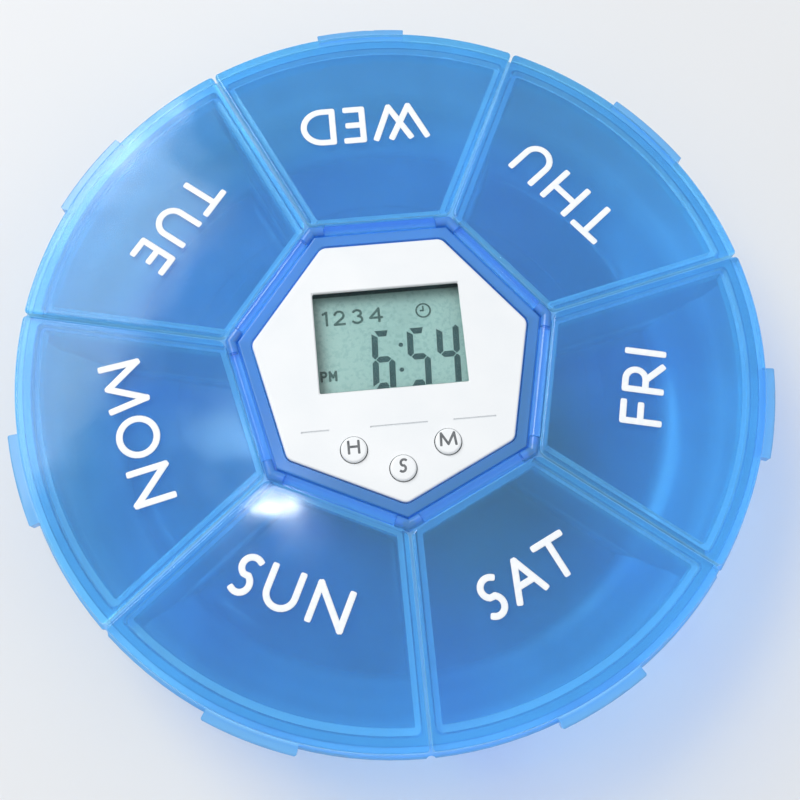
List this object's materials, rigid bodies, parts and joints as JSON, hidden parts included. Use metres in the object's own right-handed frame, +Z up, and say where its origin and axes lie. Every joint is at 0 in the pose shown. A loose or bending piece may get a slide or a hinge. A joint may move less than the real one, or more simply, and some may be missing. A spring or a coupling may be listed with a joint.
{
  "type": "pill box with alarm",
  "caption": "Round seven-day pill box in clear blue plastic: hinged wedge lids round a white seven-sided alarm timer with a digital display and three buttons.",
  "frame": {"origin": "centre of the ring that it stands on", "axes": "+Z up, +Y towards the top edge of the display, +X to the right of the display"},
  "size_m": [0.1194, 0.119, 0.0251],
  "materials": {
    "clear_blue": "clear tinted polypropylene, polished",
    "clear_blue_lid": "clear tinted polypropylene, polished",
    "white_plastic": "satin moulded",
    "button_white": "satin moulded",
    "clear_window": "clear acrylic",
    "display_glass": "grey-green reflective liquid crystal",
    "pale_plastic": "moulded",
    "pink_rubber": "soft, striped with carbon",
    "board_green": "solder mask",
    "black_resin": "epoxy",
    "bright_can": "tinned",
    "tan_ceramic": "matt",
    "grey_rubber": "silicone",
    "brass": "rolled sheet",
    "spring_steel": "nickel plated",
    "cell_steel": "nickel plated",
    "screw_steel": "zinc plated"
  },
  "bodies": {
    "base": {"base_tray": "clear_blue"},
    "lid_monday": {"lid_monday": "clear_blue_lid"},
    "lid_tuesday": {"lid_tuesday": "clear_blue_lid"},
    "lid_wednesday": {"lid_wednesday": "clear_blue_lid"},
    "lid_thursday": {"lid_thursday": "clear_blue_lid"},
    "lid_friday": {"lid_friday": "clear_blue_lid"},
    "lid_saturday": {"lid_saturday": "clear_blue_lid"},
    "lid_sunday": {"lid_sunday": "clear_blue_lid"},
    "timer": {"timer_front_cover": "white_plastic", "timer_back_cover": "white_plastic", "display_window": "clear_window", "lcd_panel": "display_glass", "lcd_frame": "pale_plastic", "zebra_strip": "pink_rubber", "circuit_board": "board_green", "chip_blob": "black_resin", "quartz_crystal": "bright_can", "capacitors": "tan_ceramic", "resistors": "black_resin", "key_pad": "grey_rubber", "piezo_buzzer": "brass", "buzzer_contacts": "spring_steel", "button_cell": "cell_steel", "battery_contact_positive": "spring_steel", "battery_contact_negative": "spring_steel", "case_screws": "screw_steel", "board_screws": "screw_steel"},
    "button_hour": {"button_hour": "button_white"},
    "button_set": {"button_set": "button_white"},
    "button_minute": {"button_minute": "button_white"},
    "battery_door": {"battery_door": "white_plastic"}
  },
  "joints": [
    {"name": "lid_monday_hinge", "type": "hinge", "parent": "base", "child": "lid_monday", "pos_m": [-0.02242, -0.00512, 0.0242], "axis": [-0.2225, 0.9749, 0], "range_deg": [0, 90]},
    {"name": "lid_tuesday_hinge", "type": "hinge", "parent": "base", "child": "lid_tuesday", "pos_m": [-0.01798, 0.01434, 0.0242], "axis": [-0.6235, -0.7818, 0], "range_deg": [-90, 0]},
    {"name": "lid_wednesday_hinge", "type": "hinge", "parent": "base", "child": "lid_wednesday", "pos_m": [0, 0.023, 0.0242], "axis": [1, 0, 0], "range_deg": [0, 90]},
    {"name": "lid_thursday_hinge", "type": "hinge", "parent": "base", "child": "lid_thursday", "pos_m": [0.01798, 0.01434, 0.0242], "axis": [-0.6235, 0.7818, 0], "range_deg": [-90, 0]},
    {"name": "lid_friday_hinge", "type": "hinge", "parent": "base", "child": "lid_friday", "pos_m": [0.02242, -0.00512, 0.0242], "axis": [-0.2225, -0.9749, 0], "range_deg": [0, 90]},
    {"name": "lid_saturday_hinge", "type": "hinge", "parent": "base", "child": "lid_saturday", "pos_m": [0.00998, -0.02072, 0.0242], "axis": [0.901, 0.4339, 0], "range_deg": [-90, 0]},
    {"name": "lid_sunday_hinge", "type": "hinge", "parent": "base", "child": "lid_sunday", "pos_m": [-0.00998, -0.02072, 0.0242], "axis": [-0.901, 0.4339, 0], "range_deg": [0, 38]},
    {"name": "timer_lift", "type": "slide", "parent": "base", "child": "timer", "axis": [0, 0, 1], "range_m": [0, 0.026]},
    {"name": "button_hour_press", "type": "slide", "parent": "timer", "child": "button_hour", "axis": [0, 0, 1], "range_m": [-0.0007, 0], "stiffness_N_per_m": 400, "springref_m": 0.0004},
    {"name": "button_set_press", "type": "slide", "parent": "timer", "child": "button_set", "axis": [0, 0, 1], "range_m": [-0.0007, 0], "stiffness_N_per_m": 400, "springref_m": 0.0004},
    {"name": "button_minute_press", "type": "slide", "parent": "timer", "child": "button_minute", "axis": [0, 0, 1], "range_m": [-0.0007, 0], "stiffness_N_per_m": 400, "springref_m": 0.0004},
    {"name": "battery_door_turn", "type": "hinge", "parent": "timer", "child": "battery_door", "pos_m": [0, -0.0093, 0.0102], "axis": [0, 0, 1], "range_deg": [0, 45]}
  ]
}
